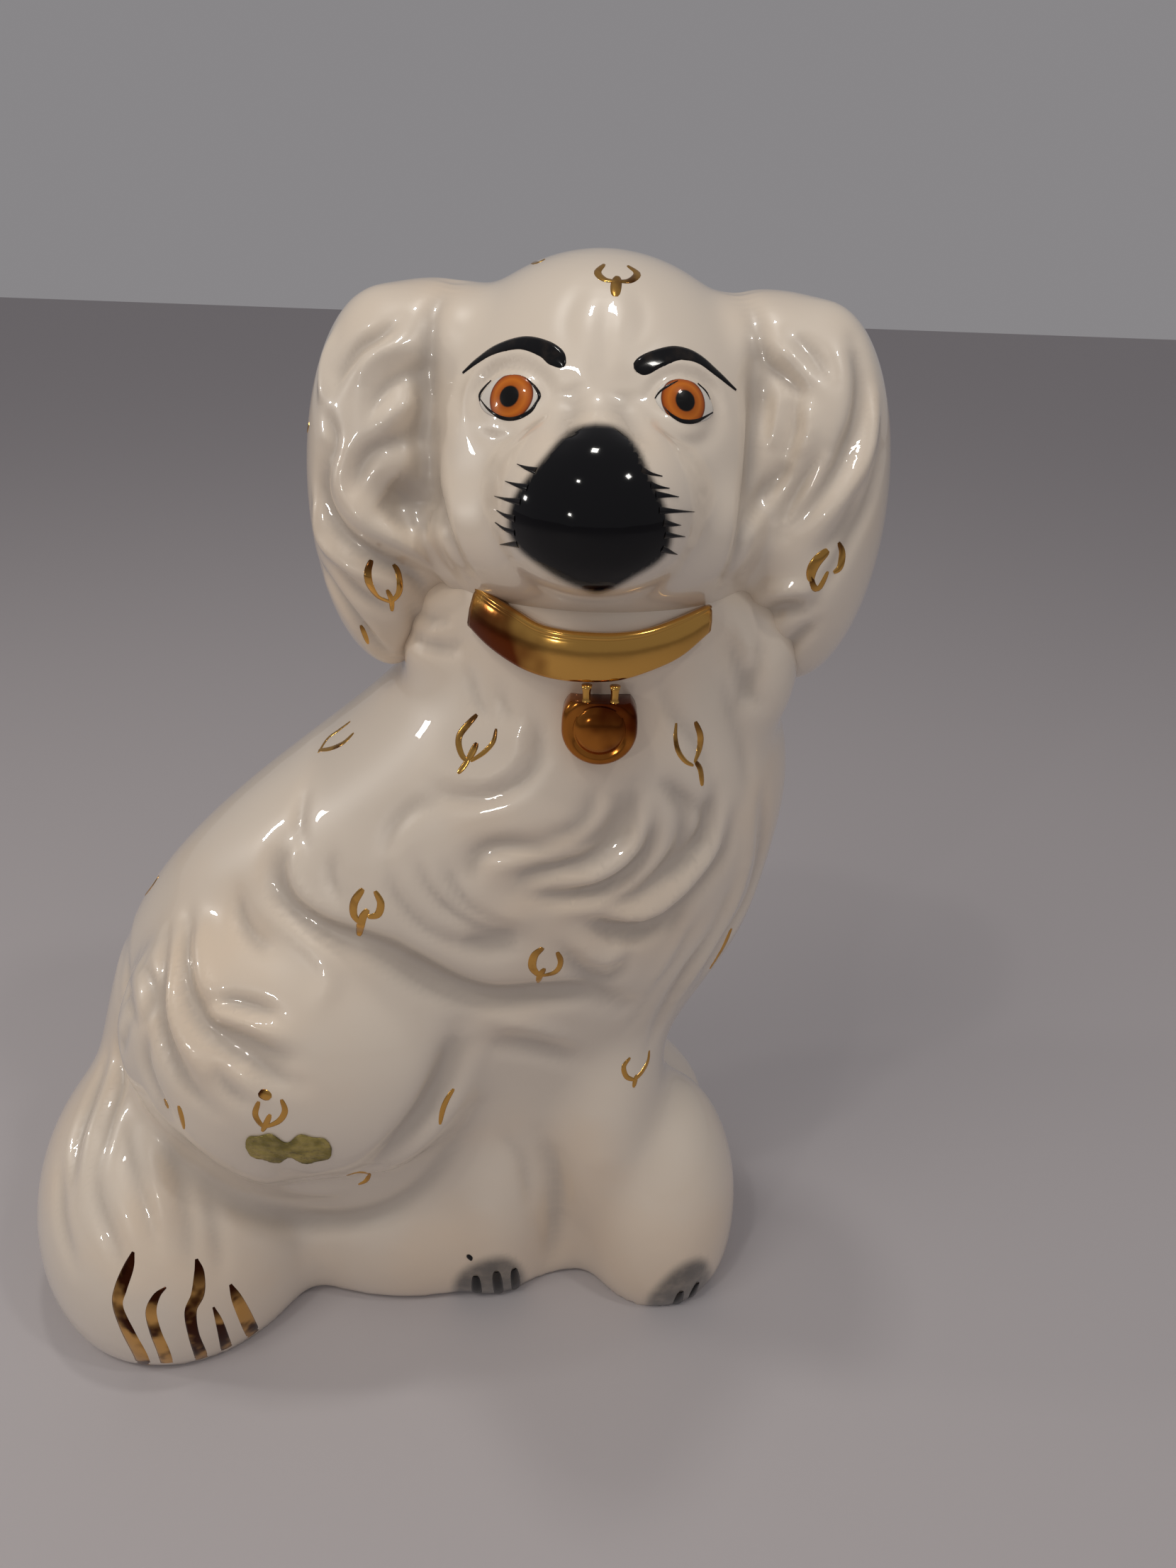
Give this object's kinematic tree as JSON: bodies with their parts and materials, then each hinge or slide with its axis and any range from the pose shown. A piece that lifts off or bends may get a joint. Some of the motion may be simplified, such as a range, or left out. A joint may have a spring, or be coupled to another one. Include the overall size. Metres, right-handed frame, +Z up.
{
  "type": "spaniel mantelpiece figure",
  "caption": "Seated glazed earthenware spaniel figure in profile, head turned to the side, with a gilt collar and a padlock-shaped locket; stands on a flat underside.",
  "frame": {"origin": "on the flat underside, in the middle of the floor slab", "axes": "+Z up and the tallest direction, +Y the thickness from the viewed flank to the far flank, +X towards the dog's chest; the head faces -Y"},
  "size_m": [0.2265, 0.131, 0.29],
  "materials": {
    "glazed_body": "glossy warm white glaze over cream earthenware",
    "gold_lustre": "bright gold lustre fired on the glaze",
    "label_foil": "crinkled gold foil on paper, blank"
  },
  "bodies": {
    "root": {"torso": "glazed_body", "floor": "glazed_body", "head": "glazed_body", "right_ear": "glazed_body", "left_ear": "glazed_body", "right_thigh": "glazed_body", "left_thigh": "glazed_body", "tail": "glazed_body", "right_hind_foot": "glazed_body", "left_hind_foot": "glazed_body", "right_foreleg": "glazed_body", "left_foreleg": "glazed_body", "collar": "gold_lustre", "locket": "gold_lustre", "right_locket_link": "gold_lustre", "left_locket_link": "gold_lustre", "foil_label": "label_foil"}
  },
  "joints": []
}
